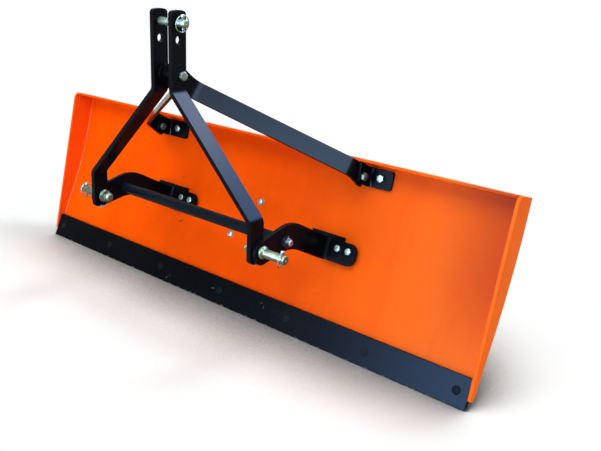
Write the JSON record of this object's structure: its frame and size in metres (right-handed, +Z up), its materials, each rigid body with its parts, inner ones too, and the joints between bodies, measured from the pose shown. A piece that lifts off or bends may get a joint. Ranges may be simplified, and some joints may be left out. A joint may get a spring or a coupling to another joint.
{
  "type": "land leveler",
  "caption": "Levelling blade for a small tractor's three-point hitch: curved board between end plates, bent-bar mast, struts and arched lower arms.",
  "frame": {"origin": "on the floor, under the middle of the whole outline", "axes": "+X to the machine's right along the blade, +Y to the rear, +Z up"},
  "size_m": [1.6, 0.4128, 0.822],
  "materials": {
    "orange_paint": "gloss",
    "black_paint": "gloss",
    "black_steel": "satin",
    "yellow_zinc": "satin",
    "bright_zinc": "satin",
    "black_zinc": "satin"
  },
  "bodies": {
    "root": {"cross_rod": "black_zinc", "cross_tube": "black_paint", "cutting_edge": "black_steel", "end_plate_left": "orange_paint", "end_plate_right": "orange_paint", "frame_bar_left": "black_paint", "frame_bar_right": "black_paint", "lower_arm_left": "black_paint", "lower_arm_right": "black_paint", "lower_bracket_left": "black_paint", "lower_bracket_right": "black_paint", "lower_pin_nuts": "yellow_zinc", "lower_pins": "yellow_zinc", "lynch_pins": "bright_zinc", "mast_bolt": "bright_zinc", "mast_spacer": "black_paint", "moldboard": "orange_paint", "rear_channel": "orange_paint", "rear_rails": "orange_paint", "rear_rib_left": "orange_paint", "rear_rib_right": "orange_paint", "strut_left": "black_paint", "strut_right": "black_paint", "top_link_pin": "bright_zinc", "upper_bracket_left": "black_paint", "upper_bracket_right": "black_paint"}
  },
  "joints": []
}
